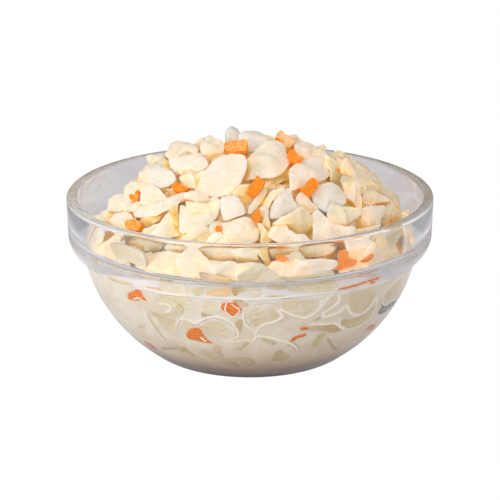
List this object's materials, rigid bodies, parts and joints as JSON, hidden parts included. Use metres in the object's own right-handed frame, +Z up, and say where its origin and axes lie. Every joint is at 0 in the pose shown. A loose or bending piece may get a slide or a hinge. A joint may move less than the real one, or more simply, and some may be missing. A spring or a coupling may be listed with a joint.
{
  "type": "coleslaw in a glass bowl",
  "caption": "Small round clear glass bowl with a straight rim band, heaped with chopped cabbage and diced carrot in creamy dressing.",
  "frame": {"origin": "middle of the bowl's foot, on the surface that it stands on", "axes": "+Z up through the bowl's axis, -Y towards the viewer, +X to the viewer's right"},
  "size_m": [0.12, 0.12, 0.0729],
  "materials": {
    "bowl": "clear smooth pressed glass",
    "coleslaw": "moist cream-white cabbage with orange carrot dice, coated in dressing"
  },
  "bodies": {
    "root": {"bowl": "bowl", "coleslaw": "coleslaw"}
  },
  "joints": []
}
